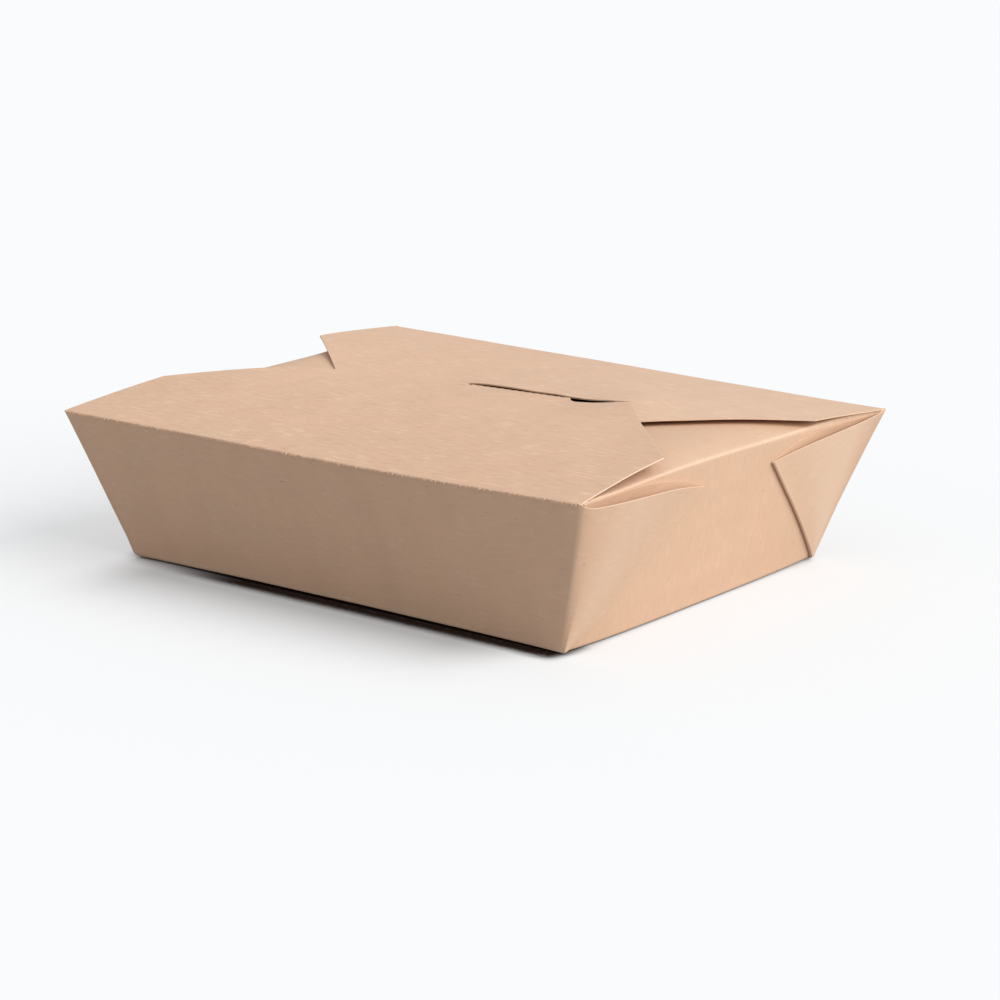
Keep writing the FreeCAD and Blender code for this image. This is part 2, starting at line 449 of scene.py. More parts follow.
def end_wall(sx, shape):
    """End wall bowed inwards, its fold and the flap folded in over it."""
    sheet = Sheet()
    bow = shape.end_bow / MM
    drop = shape.end_drop / MM
    top = (RIM_Z - drop) / RIM_Z
    turn = 1.0
    rows = FOOT_ROWS + list(np.linspace(0.08, 0.95, 16)) + [top - turn / RIM_Z]
    places = np.concatenate([[-1, -0.97, -0.94], np.linspace(-0.91, 0.91, 57), [0.94, 0.97, 1]])
    root = 0.94
    depths = [1.6, 2.2, 3.0, 4.2, 6.0] + list(np.linspace(8.0, 60.0, 18))
    columns = []
    for g in places:
        column = []
        rise = drop * 0.9 * smooth(abs(g), 0.7, 1.0)
        if sx > 0 and g > 0:
            rise = 1.35 * smooth(g, 0.2, 0.75) - 0.35 * smooth(g, 0.85, 1.0)
        for share in rows:
            share = share + rise / RIM_Z * share ** 6
            y = g * (half_y(share) - 0.25 - 1.2 * share)
            x = wall_x(y, share * RIM_Z, bow)
            # Paler towards the top fold: rub with a painted highlight
            column.append(sheet.add((sx * x, y, share * RIM_Z), (sx * (BASE_X + share * 55), y),
                                    0.15 * max(0.0, 1 - (top - share) * 20)))
        edge_y = g * (half_y(top) - 1.45)
        edge_x = wall_x(edge_y, top * RIM_Z, bow)
        before = np.array([sx * wall_x(edge_y, RIM_Z * top - turn, bow), edge_y, RIM_Z * top - turn + rise])
        corner = np.array([sx * edge_x, edge_y, top * RIM_Z + rise])
        after = np.array([sx * (edge_x - turn), edge_y, top * RIM_Z + rise + end_flap_rise(sx, g, turn)])
        for t in np.linspace(0, 1, 9)[1:]:
            point = (1 - t) ** 2 * before + 2 * t * (1 - t) * corner + t ** 2 * after
            # The fold itself paler: rub with a painted highlight
            column.append(sheet.add(point, (sx * (BASE_X + 54 + t), edge_y), 0.5))
        for depth in depths:
            inwards = depth / END_FLAP_DEPTH
            y = edge_y * (1 - (1 - END_FLAP_TIP / END_FLAP_ROOT) * inwards)
            x = edge_x * (1 - inwards) + (RIM_X - END_FLAP_DEPTH) * inwards
            z = top * RIM_Z + rise * math.exp(-depth / 25) + end_flap_rise(sx, g, depth)
            # Paler next to the fold: rub with a painted highlight
            column.append(sheet.add((sx * x, y, z), (sx * (BASE_X + 55 + depth), y),
                                    0.4 * math.exp((1.0 - depth) / 1.0)))
        columns.append(column)
    if sx < 0:
        columns = columns[::-1]
    fold = len(rows) + 4
    flap = [abs(g) <= root + 1e-6 for g in places]
    if sx < 0:
        flap = flap[::-1]
    sheet.grid(columns, lambda c, r: r >= fold and not (flap[c] and flap[c + 1]))
    return sheet


def base_sheet():
    """Underside of the box, a shallow dome that touches the table in its middle."""
    sheet = Sheet()
    inset = 0.88
    xs = np.concatenate([[-1], np.linspace(-0.985, 0.985, 45), [1]]) * (BASE_X - inset)
    ys = np.concatenate([[-1], np.linspace(-0.98, 0.98, 37), [1]]) * (BASE_Y - inset)
    sheet.grid([[sheet.add((x, y, 0.0), (x, y + BASE_OFFSET)) for x in xs] for y in ys])
    return sheet


# Flaps, cut from flat outlines

def sample_outline(outline, step):
    """Outline with its long sides divided."""
    out = []
    for a, b in zip(outline, outline[1:] + outline[:1]):
        a = np.array(a, float)
        b = np.array(b, float)
        count = max(1, int(round(np.linalg.norm(b - a) / step)))
        out.extend(a + (b - a) * n / count for n in range(count))
    return out


def within(point, outline):
    """Whether a flat point is inside an outline."""
    x, y = point
    inside = False
    for (ax, ay), (bx, by) in zip(outline, outline[1:] + outline[:1]):
        if (ay > y) != (by > y) and x < (bx - ax) * (y - ay) / (by - ay) + ax:
            inside = not inside
    return inside


def flat_mesh(outline, holes, rows, step, lines=()):
    """Flat points and triangles of an outline with holes, on rows at given distances and along lines."""
    rings = [sample_outline(outline, step)] + [sample_outline(hole, 1.2) for hole in holes]
    points, edges = [], []
    for ring in rings:
        start = len(points)
        points.extend(ring)
        edges.extend((start + n, start + (n + 1) % len(ring)) for n in range(len(ring)))
    for line in lines:
        start = len(points)
        points.extend(line)
        edges.extend((start + n, start + n + 1) for n in range(len(line) - 1))
    everything = np.array(points)
    for row, depth in enumerate(rows):
        shift = step / 2 if row % 2 else 0.0
        for x in np.arange(-RIM_X, RIM_X + 0.01, step) + shift:
            place = np.array([x, depth])
            if not within(place, outline) or any(within(place, hole) for hole in holes):
                continue
            if np.min(np.hypot(*(everything - place).T)) < 0.45 * min(step, 2.0):
                continue
            points.append(place)
    found = geometry.delaunay_2d_cdt([Vector(p) for p in points], edges, [], 0, 1e-5)
    triangles = []
    for a, b, c in found[2]:
        one, two, three = (found[0][n] for n in (a, b, c))
        if abs((two - one).cross(three - one)) < 0.04:
            continue
        middle = (one + two + three) / 3
        if within(middle, outline) and not any(within(middle, hole) for hole in holes):
            triangles.append((a, b, c))
    return [(p.x, p.y) for p in found[0]], triangles


def fold_profile(distance, slope, reach):
    """Place across and up from a fold, at a distance along the board from the wall below it."""
    lean = math.atan2(RIM_Y - BASE_Y, RIM_Z)
    down = np.array([math.sin(lean), -math.cos(lean)])
    if distance <= -reach:
        return down * -distance
    if distance >= reach:
        return np.array([distance, 0.0])
    t = (distance + reach) / (2 * reach)
    end = np.array([reach, slope * reach])
    rounded = (1 - t) ** 2 * down * reach + t ** 2 * end
    return rounded - np.array([0, max(distance, 0) * slope])


class Heights:
    """Smooth surface through given heights, level along the fold, like a sheet bent over pegs."""

    def __init__(self, pegs):
        fold = [(x, 0.0, 0.0) for x in np.linspace(-107, 107, 9)]
        pegs = np.array(list(pegs) + fold, float)
        self.places = pegs[:, :2]
        count = len(pegs)
        matrix = np.zeros((count + 3, count + 3))
        matrix[:count, :count] = self.spread(self.places)
        matrix[:count, count] = 1
        matrix[:count, count + 1:] = self.places
        matrix[count:, :count] = matrix[:count, count:].T
        matrix[:count, :count] += np.eye(count) * 60.0
        self.weights = np.linalg.solve(matrix, np.concatenate([pegs[:, 2], np.zeros(3)]))

    def spread(self, places):
        away = np.hypot(*(places[:, None] - self.places[None]).transpose(2, 0, 1))
        return away ** 2 * np.log(np.maximum(away, 1e-9))

    def at(self, x, depth):
        row = np.concatenate([self.spread(np.array([[x, depth]], float))[0], [1.0, x, depth]])
        return float(row @ self.weights) * min(1.0, max(0.0, depth) / 2.0)


def fold_rub_and_painted_highlight(depth, most):
    """How pale a flap is at its fold, from rub and a painted highlight."""
    return most * math.exp(-((depth + 0.1) / 0.55) ** 2)


def cut_x(corner, depth, slope=CUT_SLOPE):
    """How far out a corner cut is at a distance from the fold."""
    return corner[0] - (depth - corner[1]) / slope


def front_outline():
    far = TONGUE_FAR
    left, right = (104.0, 45.5), RIGHT_CUT
    shoulder = 100.8
    return [(-FLAP_ROOT, 0.0), (-RIM_X + 1.4, -STRIP), (RIM_X - 1.4, -STRIP), (FLAP_ROOT, 0.0),
            right, (cut_x(right, 105.8), 105.8), (cut_x(right, 106.6) - 1.2, 106.6), (45.5, 105.6),
            (38.0, 104.0), (31.0, 103.2), (29.4, 103.6), (TONGUE_RIGHT + 0.6, 105.6),
            (TONGUE_RIGHT, far), (TONGUE_RIGHT - 1, far + 4), (TONGUE_RIGHT - 5, far + 8.5),
            (TONGUE_LEFT + 5, far + 8.5), (TONGUE_LEFT + 1, far + 4), (TONGUE_LEFT, far),
            (TONGUE_LEFT - 1.5, shoulder + 1.2), (TONGUE_LEFT - 3.5, shoulder),
            (-cut_x(left, shoulder), shoulder), (-left[0], left[1])]


def front_flap_sheet(shape):
    """Front flap from the seam on the wall over the fold to the tongue's end."""
    heights = Heights(FRONT_HEIGHTS)
    rows = FOLD_ROWS + list(np.arange(5, 100, 3.0))
    rows += [101.5, 103, 104.5, 105.5, 106.3, 107, 107.7, 108.5, 111, 114]
    near_cut = [np.array([cut_x(RIGHT_CUT, depth) - 0.45, depth]) for depth in np.arange(50, 98, 1.5)]
    flat, triangles = flat_mesh(front_outline(), [], rows, 3.0, [near_cut])
    # Cut edges paler than elsewhere: pale fibres plus a painted highlight where they catch the light
    sheet = Sheet(0.75, 1.0)
    far = TONGUE_FAR
    for x, depth in flat:
        across, up = fold_profile(min(depth, far), *FRONT_FOLD)
        rise = heights.at(x, min(max(depth, 0), far))
        y, z = -RIM_Y + across, RIM_Z + up + rise
        if depth > far:
            past = depth - far
            turn = min(past / TONGUE_RADIUS, TONGUE_TURN)
            y += TONGUE_RADIUS * math.sin(turn)
            z -= TONGUE_RADIUS * (1 - math.cos(turn))
            rest = past - TONGUE_RADIUS * turn
            if rest > 0:
                y += rest * math.cos(turn)
                z -= rest * math.sin(turn)
        bowed = front_bow(x, 1.0)
        fade = SEAM_SHARE ** 2 if depth < 0 else math.exp(-depth / 28)
        y -= shape.front_bow / MM * bowed * fade
        z -= shape.front_dip / MM * bowed * fade
        # Paler at the fold: rub with a painted highlight
        crease = fold_rub_and_painted_highlight(depth, 0.3)
        # A painted highlight along the right corner cut on the top face, fading where the cut goes under
        # the back flap
        if 49.5 < depth < 98 and cut_x(RIGHT_CUT, depth) - x < 0.1:
            crease = 1.0 - 0.6 * smooth(depth, 84.0, 90.0)
        sheet.add((x, y, z), (x, depth), crease)
    sheet.faces = [tuple(t) for t in triangles]
    return sheet


def back_outline():
    far = 97.0
    left, right = (104.6, 48.0), (104.7, 41.0)
    root = RIM_X - 0.1
    return [(-root, 0.0), (-RIM_X + 0.9, -STRIP), (RIM_X - 0.9, -STRIP), (root, 0.0), right,
            (cut_x(right, far), far), (-cut_x(left, far, 0.95), far), (-left[0], left[1])]


def back_flap_sheet():
    """Back flap with the slit that takes the tongue."""
    heights = Heights(BACK_HEIGHTS)
    hole = [(SLIT_LEFT, 70.9), (-14.0, 70.6), (26.0, 70.6), (36.0, 70.4), (44.0, 69.7), (SLIT_RIGHT, 68.6),
            (46.0, 70.6), (40.0, 73.2), (32.0, 74.2), (26.0, 72.2), (-14.0, 71.9)]
    rows = FOLD_ROWS + list(np.arange(5, 66, 3.0)) + [66.5, 68.0, 69.5, 75, 76.5, 79, 82, 85, 88, 91, 94]
    near_lip = [np.array([x, 70.1 + 0.25 * smooth(-x, 14.0, -SLIT_LEFT)])
                for x in np.linspace(SLIT_LEFT, 36.0, 46)]
    flat, triangles = flat_mesh(back_outline(), [hole], rows, 3.0, [near_lip])
    # Cut edges hardly paler: pale fibres toned down as painted shade
    sheet = Sheet(0.1, 1.0)
    for x, depth in flat:
        across, up = fold_profile(depth, *BACK_FOLD)
        rise = heights.at(x, depth)
        window = math.exp(-(abs(x - 15) / 33) ** 6)
        if depth > SLIT_MIDDLE:
            rise -= 0.35 * window * math.exp(-((depth - SLIT_MIDDLE) / 8) ** 2)
        else:
            lip = math.exp(-(abs(x - 4) / 20) ** 8)
            rise += (0.25 * window + 0.62 * lip) * math.exp(-((SLIT_MIDDLE - depth) / 6) ** 2)
        # Painted sheen, lighter towards the right, plus rub with a painted highlight at the fold
        crease = 0.06 + 0.32 * smooth(x, -60.0, 95.0) + fold_rub_and_painted_highlight(depth, 0.4)
        # A painted shadow line on the top face of the slit's near lip
        if 70.5 < depth < 71.1 and SLIT_LEFT < x < 30:
            crease = -1.0
        sheet.add((x, RIM_Y - across, RIM_Z + up + rise), (x, BACK_OFFSET + depth), crease)
    sheet.faces = [tuple(reversed(t)) for t in triangles]
    return sheet


def on_seam(a, b):
    """Edges where a flap's board goes on in the wall below it have no cut edge."""
    seam = RIM_Z * SEAM_SHARE
    for point in (a, b):
        if abs(point[2] - seam) > 0.62 or abs(point[1]) < RIM_Y - 1.5 or abs(point[0]) > RIM_X - 0.9:
            return False
    return True


def at_foot(a, b):
    return a[2] < 0.2 and b[2] < 0.2


# Finish

def socket(group, name, kind, way, default=None):
    item = group.interface.new_socket(name=name, in_out=way, socket_type=kind)
    if default is not None:
        item.default_value = default
    return item


class Nodes:
    """Short ways to add nodes to a tree and to link or set their sockets."""

    def __init__(self, tree):
        self.nodes, self.links = tree.nodes, tree.links

    def put(self, value, target):
        if hasattr(value, "links"):
            self.links.new(value, target)
        else:
            target.default_value = value

    def node(self, kind, **values):
        node = self.nodes.new(kind)
        for name, value in values.items():
            self.put(value, node.inputs[name.replace("_", " ")])
        return node

    def math(self, kind, a, b):
        node = self.nodes.new("ShaderNodeMath")
        node.operation = kind
        self.put(a, node.inputs[0])
        self.put(b, node.inputs[1])
        return node.outputs["Value"]

    def ramp(self, value, low, high, kind="SMOOTHSTEP"):
        node = self.nodes.new("ShaderNodeMapRange")
        node.interpolation_type = kind
        node.inputs["From Min"].default_value = low
        node.inputs["From Max"].default_value = high
        self.put(value, node.inputs["Value"])
        return node.outputs["Result"]

    def mix_colour(self, share, a, b):
        node = self.nodes.new("ShaderNodeMix")
        node.data_type = "RGBA"
        for value, name in ((share, "Factor"), (a, "A"), (b, "B")):
            self.put(value, [item for item in node.inputs if item.name == name and item.enabled][0])
        return [item for item in node.outputs if item.enabled][0]

    def mix_shader(self, share, a, b):
        node = self.nodes.new("ShaderNodeMixShader")
        for value, target in zip((share, a, b), node.inputs):
            self.put(value, target)
        return node.outputs["Shader"]


def fibre_group():
    """Node group: masks and height of kraft board's fibres from its place in the blank."""
    group = bpy.data.node_groups.new("kraft_fibres", "ShaderNodeTree")
    socket(group, "Place", "NodeSocketVector", "INPUT")
    masks = ("Light Fibres", "Dark Fibres", "Clouds", "Specks", "Bands", "Height")
    for name in masks:
        socket(group, name, "NodeSocketFloat", "OUTPUT")
    make = Nodes(group)
    entry = make.nodes.new("NodeGroupInput")
    leave = make.nodes.new("NodeGroupOutput")

    def noise_at(scale, stretch, detail, rough, offset):
        place = make.node("ShaderNodeMapping", Vector=entry.outputs["Place"], Scale=stretch,
                          Location=(offset, -offset, 0))
        texture = make.node("ShaderNodeTexNoise", Vector=place.outputs["Vector"], Scale=scale,
                            Detail=detail, Roughness=rough)
        return texture.outputs["Fac"]

    streak_a = noise_at(165.0, (1.0, 5.0, 1.0), 3.0, 0.58, 3.1)
    streak_b = noise_at(150.0, (1.0, 5.5, 1.0), 3.0, 0.58, 7.7)
    bands = noise_at(90.0, (1.0, 0.16, 1.0), 2.0, 0.5, 4.4)
    patches = noise_at(60.0, (1.0, 1.6, 1.0), 2.0, 0.5, 1.3)
    clouds = noise_at(38.0, (1.0, 1.7, 1.0), 4.0, 0.55, 5.9)
    speck = noise_at(520.0, (1.0, 2.2, 1.0), 1.0, 0.5, 9.2)
    grain = noise_at(2400.0, (1.0, 2.4, 1.0), 3.0, 0.6, 2.2)
    values = (
        make.math("MULTIPLY", make.ramp(streak_a, 0.50, 0.68), make.ramp(patches, 0.30, 0.62)),
        make.math("MULTIPLY", make.ramp(streak_b, 0.50, 0.68), make.ramp(patches, 0.72, 0.35)),
        make.ramp(clouds, 0.36, 0.64),
        make.math("MULTIPLY", make.ramp(speck, 0.70, 0.76), make.ramp(patches, 0.40, 0.55)),
        make.ramp(bands, 0.35, 0.65),
        make.math("ADD", streak_a, grain),
    )
    for name, value in zip(masks, values):
        make.links.new(value, leave.inputs[name])
    return group


def kraft_material(finish):
    """Kraft board with fibres, clouded colour, pale cut edges, folds paler from rub and a painted
    highlight, a painted sheen, and a painted shadow line at the slit.
    """
    material = bpy.data.materials.new("kraft_fibre_board")
    material.use_nodes = True
    make = Nodes(material.node_tree)
    make.nodes.clear()
    output = make.nodes.new("ShaderNodeOutputMaterial")
    shader = make.node("ShaderNodeBsdfPrincipled", Roughness=0.62, Specular_IOR_Level=0.4)
    make.links.new(shader.outputs["BSDF"], output.inputs["Surface"])
    place = make.nodes.new("ShaderNodeUVMap")
    place.uv_map = "board"
    fibres = make.nodes.new("ShaderNodeGroup")
    fibres.node_tree = fibre_group()
    make.links.new(place.outputs["UV"], fibres.inputs["Place"])

    def marked(name):
        node = make.nodes.new("ShaderNodeAttribute")
        node.attribute_name = name
        return node.outputs["Fac"]

    def scaled(value, amount):
        return make.math("MULTIPLY", value, amount)

    def tinted(tint):
        return tuple(np.array(finish.colour) * tint) + (1.0,)

    pale = tuple(finish.pale_colour) + (1.0,)
    dark = tuple(finish.dark_colour) + (1.0,)
    strength = marked("fibre_strength")
    light_share = make.math("MULTIPLY", scaled(fibres.outputs["Light Fibres"], 0.42), strength)
    dark_share = make.math("MULTIPLY", scaled(fibres.outputs["Dark Fibres"], 0.24), strength)
    edge = make.math("SUBTRACT", marked("cut_edge"), 1.0)
    edge.node.use_clamp = True
    cool, warm = tinted((0.988, 0.999, 0.993)), tinted((1.01, 0.998, 0.99))
    colour = make.mix_colour(fibres.outputs["Clouds"], cool, warm)
    layers = (
        (light_share, pale),
        (dark_share, dark),
        (scaled(fibres.outputs["Bands"], 0.05), dark),
        (scaled(fibres.outputs["Specks"], 0.55), dark),
        # Crease above zero: paler for fold rub, painted highlights and painted sheen; below zero: a painted
        # shadow line
        (scaled(marked("crease"), 0.45), pale),
        (scaled(marked("crease"), -0.85), dark),
        (edge, pale),
    )
    for share, tone in layers:
        colour = make.mix_colour(share, colour, tone)
    make.links.new(colour, shader.inputs["Base Color"])
    bump = make.node("ShaderNodeBump", Strength=finish.relief, Distance=0.00006,
                     Height=fibres.outputs["Height"])
    make.links.new(bump.outputs["Normal"], shader.inputs["Normal"])
    return material


def floor_material(stage):
    """Pale floor: bright to the camera, with a painted shadow where the box nearly touches it and a painted
    soft shade along its front, duller to the box.

    Places on it are in metres."""
    material = bpy.data.materials.new("pale_floor")
    material.use_nodes = True
    make = Nodes(material.node_tree)
    make.nodes.clear()
    output = make.nodes.new("ShaderNodeOutputMaterial")
    pale = tuple(stage.floor_glow) + (1.0,)
    lit = make.node("ShaderNodeBsdfDiffuse", Color=tuple(stage.floor_colour) + (1.0,))
    bounce = make.node("ShaderNodeBsdfDiffuse", Color=(stage.floor_bounce,) * 3 + (1.0,))
    # Near-black colour of the painted shadow on the floor
    under = make.node("ShaderNodeBsdfDiffuse", Color=(0.03, 0.018, 0.014, 1.0))
    near = make.node("ShaderNodeAmbientOcclusion", Distance=0.012, Color=pale)
    near.samples = 8
    place = make.nodes.new("ShaderNodeTexCoord")
    split = make.node("ShaderNodeSeparateXYZ", Vector=place.outputs["Object"])
    across, along = split.outputs["X"], split.outputs["Y"]

    def both(a, b):
        return make.math("MULTIPLY", a, b)

    # The glow is dimmed near the box as painted shade, less so on the open right side
    open_side = both(make.ramp(across, 0.086, 0.094), 0.22)
    glow = make.node("ShaderNodeEmission", Color=pale,
                     Strength=make.ramp(make.math("ADD", near.outputs["AO"], open_side), 0.2, 0.78))
    even = make.mix_shader(stage.floor_share, lit.outputs["BSDF"], glow.outputs["Emission"])
    # Painted contact shadow just in front of the front edge
    in_front = make.ramp(along, -0.058, -0.064)
    painted_contact_shadow = both(both(in_front, make.ramp(near.outputs["AO"], 0.8, 0.6)),
                   both(make.ramp(across, -0.1, -0.04), make.ramp(across, 0.094, 0.086)))
    # Painted soft shade on the floor along the front of the box
    shade = make.math("POWER", make.ramp(along, -0.14, -0.084, "LINEAR"), 2.5)
    shade = both(both(shade, in_front),
                 both(make.ramp(across, -0.098, -0.07), make.ramp(across, 0.088, 0.052)))
    dim = make.math("MAXIMUM", painted_contact_shadow, both(shade, stage.front_shade))
    seen = make.mix_shader(dim, even, under.outputs["BSDF"])
    path = make.nodes.new("ShaderNodeLightPath")
    blend = make.mix_shader(path.outputs["Is Camera Ray"], bounce.outputs["BSDF"], seen)
    make.links.new(blend, output.inputs["Surface"])
    return material


def crease_fibre_tree(material):
    """Node tree that sets short tapering fibres along a line, lying over the crease."""
    tree = bpy.data.node_groups.new("crease_fibres", "GeometryNodeTree")
    socket(tree, "Line", "NodeSocketGeometry", "INPUT")
    socket(tree, "Fibres", "NodeSocketInt", "INPUT", 520)
    socket(tree, "Length", "NodeSocketFloat", "INPUT", 1.1 * MM)
    socket(tree, "Width", "NodeSocketFloat", "INPUT", 0.3 * MM)
    socket(tree, "Seed", "NodeSocketInt", "INPUT", 7)
    socket(tree, "Fibres", "NodeSocketGeometry", "OUTPUT")
    make = Nodes(tree)
    entry = make.nodes.new("NodeGroupInput")
    leave = make.nodes.new("NodeGroupOutput")

    def scatter(kind, low, high, offset):
        node = make.nodes.new("FunctionNodeRandomValue")
        node.data_type = kind
        slots = [item for item in node.inputs if item.enabled]
        slots[0].default_value = low
        slots[1].default_value = high
        shift = make.nodes.new("FunctionNodeIntegerMath")
        shift.operation = "ADD"
        shift.inputs[1].default_value = offset
        make.links.new(entry.outputs["Seed"], shift.inputs[0])
        make.links.new(shift.outputs[0], node.inputs["Seed"])
        return [item for item in node.outputs if item.enabled][0]

    curve = make.node("GeometryNodeMeshToCurve", Mesh=entry.outputs["Line"])
    spread = make.node("GeometryNodeResampleCurve", Curve=curve.outputs["Curve"],
                       Count=entry.outputs["Fibres"])
    shift = scatter("FLOAT_VECTOR", (-0.0004, -0.00012, -0.00006), (0.0004, 0.00012, 0.0), 1)
    shake = make.node("GeometryNodeSetPosition", Geometry=spread.outputs["Curve"], Offset=shift)
    fibre = make.node("GeometryNodeMeshCone", Vertices=3, Radius_Top=0.00002,
                      Radius_Bottom=entry.outputs["Width"], Depth=entry.outputs["Length"])
    turn = scatter("FLOAT_VECTOR", (1.75, 0.0, -1.1), (2.6, 0.0, 1.1), 2)
    size = scatter("FLOAT_VECTOR", (0.3, 0.3, 0.25), (0.9, 0.9, 1.0), 3)
    place = make.node("GeometryNodeInstanceOnPoints", Points=shake.outputs["Geometry"],
                      Instance=fibre.outputs["Mesh"], Rotation=turn, Scale=size)
    real = make.node("GeometryNodeRealizeInstances", Geometry=place.outputs["Instances"])
    finish = make.node("GeometryNodeSetMaterial", Geometry=real.outputs["Geometry"], Material=material)
    make.links.new(finish.outputs["Geometry"], leave.inputs["Fibres"])
    return tree


def crease_line(shape):
    """Points along the front crease, on the board's outer face, in metres."""
    heights = Heights(FRONT_HEIGHTS)
    points = []
    for x in np.linspace(-RIM_X + 1.0, RIM_X - 1.0, 80):
        across, up = fold_profile(-0.08, *FRONT_FOLD)
        bowed = front_bow(x, 1.0)
        points.append((x, -RIM_Y + across - shape.front_bow / MM * bowed,
                       RIM_Z + up + heights.at(x, 0.0) - shape.front_dip / MM * bowed))
    return ripple(settle(np.array(points))) * MM


# Properties, operators and panel

class BoxShape(bpy.types.PropertyGroup):
    thickness: bpy.props.FloatProperty(
        name="Board", description="Thickness of the board", default=0.45 * MM, unit="LENGTH")
    front_bow: bpy.props.FloatProperty(
        name="Front bow", description="How far the front fold bows outwards", default=1.2 * MM,
        unit="LENGTH")
    front_dip: bpy.props.FloatProperty(
        name="Front dip", description="How far the front fold dips where it bows", default=0.5 * MM,
        unit="LENGTH")
    end_bow: bpy.props.FloatProperty(
        name="End bow", description="How far the end walls are pressed inwards", default=7.0 * MM,
        unit="LENGTH")
    end_drop: bpy.props.FloatProperty(
        name="End drop", description="How far the end flaps lie below the rim", default=0.9 * MM,
        unit="LENGTH")
    corner_reach: bpy.props.FloatProperty(
        name="Corner", description="Reach of the rounding at a corner of the rim", default=1.3 * MM,
        unit="LENGTH")
    layer_gap: bpy.props.FloatProperty(
        name="Layer gap", description="Gap between end wall and gusset", default=0.12 * MM, unit="LENGTH")
    loop_width: bpy.props.FloatProperty(
        name="Gusset fold", description="Width of the gusset's folded edge", default=1.3 * MM,
        unit="LENGTH")


class BoxFibres(bpy.types.PropertyGroup):
    count: bpy.props.IntProperty(
        name="Fibres", description="Number of raised fibres along the front crease", default=520, min=1)
    length: bpy.props.FloatProperty(
        name="Fibre length", description="Length of the longest fibre", default=1.1 * MM, unit="LENGTH")
    width: bpy.props.FloatProperty(
        name="Fibre width", description="Width of a fibre at its root", default=0.3 * MM, unit="LENGTH")
    seed: bpy.props.IntProperty(name="Seed", description="Seed of the fibres' places", default=7)


class BoxFinish(bpy.types.PropertyGroup):
    colour: bpy.props.FloatVectorProperty(
        name="Board colour", description="Plain colour of the board", size=3, subtype="COLOR",
        default=(0.668, 0.44, 0.3), min=0, max=1)
    # The pale colour also tints the painted highlights and sheen at folds and cuts
    pale_colour: bpy.props.FloatVectorProperty(
        name="Pale fibres", description="Colour of pale fibres and cut edges", size=3, subtype="COLOR",
        default=(0.84, 0.66, 0.51), min=0, max=1)
    # The dark colour also tints the painted shadow line at the slit
    dark_colour: bpy.props.FloatVectorProperty(
        name="Dark fibres", description="Colour of dark fibres and specks", size=3, subtype="COLOR",
        default=(0.36, 0.22, 0.13), min=0, max=1)
    relief: bpy.props.FloatProperty(
        name="Relief", description="Strength of the fibres' relief", default=0.5, min=0, max=1)


class BoxStage(bpy.types.PropertyGroup):
    floor_colour: bpy.props.FloatVectorProperty(
        name="Floor", description="Colour of the floor as the camera sees it", size=3, subtype="COLOR",
        default=(0.83, 0.842, 0.855), min=0, max=1)
    floor_glow: bpy.props.FloatVectorProperty(
        name="Floor glow", description="Even paleness of the floor to the camera", size=3, subtype="COLOR",
        default=(0.975, 0.985, 0.995), min=0, max=1)
    floor_share: bpy.props.FloatProperty(
        name="Floor evenness", description="Share of the even paleness in the floor", default=0.45,
        min=0, max=1, subtype="FACTOR")
    floor_bounce: bpy.props.FloatProperty(
        name="Floor bounce", description="Share of light the floor returns to the box", default=0.44,
        min=0, max=1)
    # Depth of the painted shade along the front, made in the floor's material
    front_shade: bpy.props.FloatProperty(
        name="Front shade", description="Depth of the soft shade on the floor along the front",
        default=0.42, min=0, max=1, subtype="FACTOR")
    sky: bpy.props.FloatProperty(
        name="Surround", description="Strength of the even light all around", default=0.63, min=0)
    key: bpy.props.FloatProperty(
        name="Key light", description="Strength of the soft light from the right", default=2.95, min=0)


def board_material(context):
    """The board's material, made once and shared by all pieces."""
    return bpy.data.materials.get("kraft_fibre_board") or kraft_material(context.scene.box_finish)


def board_piece(context, name, sheets, joined):
    """Piece of board from its sheets, with its material."""
    piece = make_board(name, sheets, context.scene.box_shape.thickness / MM, joined)
    if not piece.data.polygons:
        raise RuntimeError(name + " has no faces")
    piece.data.materials.append(board_material(context))
    return piece


class BOX_OT_carton(bpy.types.Operator):
    """Build the folded board of the box without its front flap"""
    bl_idname = "takeaway_box.carton"
    bl_label = "Build Carton"

    def execute(self, context):
        shape = context.scene.box_shape
        sheets = [long_wall(-1, shape), long_wall(1, shape), end_wall(1, shape), end_wall(-1, shape),
                  base_sheet(), back_flap_sheet()]
        piece = board_piece(context, "carton_board", sheets, lambda a, b: on_seam(a, b) or at_foot(a, b))
        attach(piece, "carton")
        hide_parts("carton")
        return {"FINISHED"}


class BOX_OT_front_flap(bpy.types.Operator):
    """Build the front flap with its tongue and the crease it turns on"""
    bl_idname = "takeaway_box.front_flap"
    bl_label = "Build Front Flap"

    def execute(self, context):
        sheet = front_flap_sheet(context.scene.box_shape)
        piece = board_piece(context, "front_flap_board", [sheet], on_seam)
        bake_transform(piece)
        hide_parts("front_flap")
        return {"FINISHED"}


